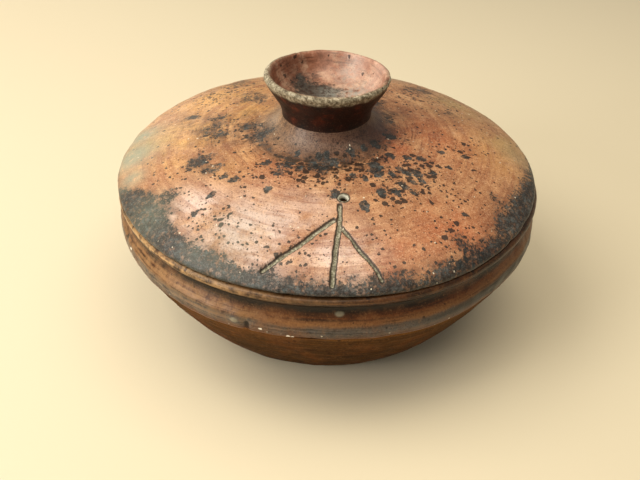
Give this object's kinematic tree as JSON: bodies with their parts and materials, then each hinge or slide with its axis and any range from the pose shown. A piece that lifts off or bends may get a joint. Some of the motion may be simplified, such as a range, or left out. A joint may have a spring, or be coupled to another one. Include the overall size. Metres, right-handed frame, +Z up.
{
  "type": "lidded clay cooking pot",
  "caption": "Wide low hand-built clay pot with a ridged shoulder, and a loose domed lid with a flared cup-shaped knob, a steam vent and incised lines.",
  "frame": {"origin": "centre of the pot's flat underside", "axes": "+Z up along the axis of the pot, -Y towards the lid's steam vent"},
  "size_m": [0.2442, 0.2442, 0.1458],
  "materials": {
    "lower_wall_clay": "smoke-fired, half burnished, dark brown",
    "shoulder_clay": "smoke-fired, burnished, warm brown",
    "lid_clay": "burnished terracotta with soot marks",
    "flange_clay": "plain fired clay, not burnished",
    "coil_clay": "smoke-fired, burnished, red-brown",
    "knob_clay": "smoke-fired, burnished, worn grey at the lip"
  },
  "bodies": {
    "pot": {"bowl_body": "lower_wall_clay", "shoulder_band": "shoulder_clay"},
    "lid": {"lid_dome": "lid_clay", "lid_flange": "flange_clay", "knob_luting_coil": "coil_clay", "flared_knob": "knob_clay"}
  },
  "joints": [
    {"name": "lid_lift", "type": "slide", "parent": "pot", "child": "lid", "axis": [0, 0, 1], "range_m": [0, 0.15]}
  ]
}
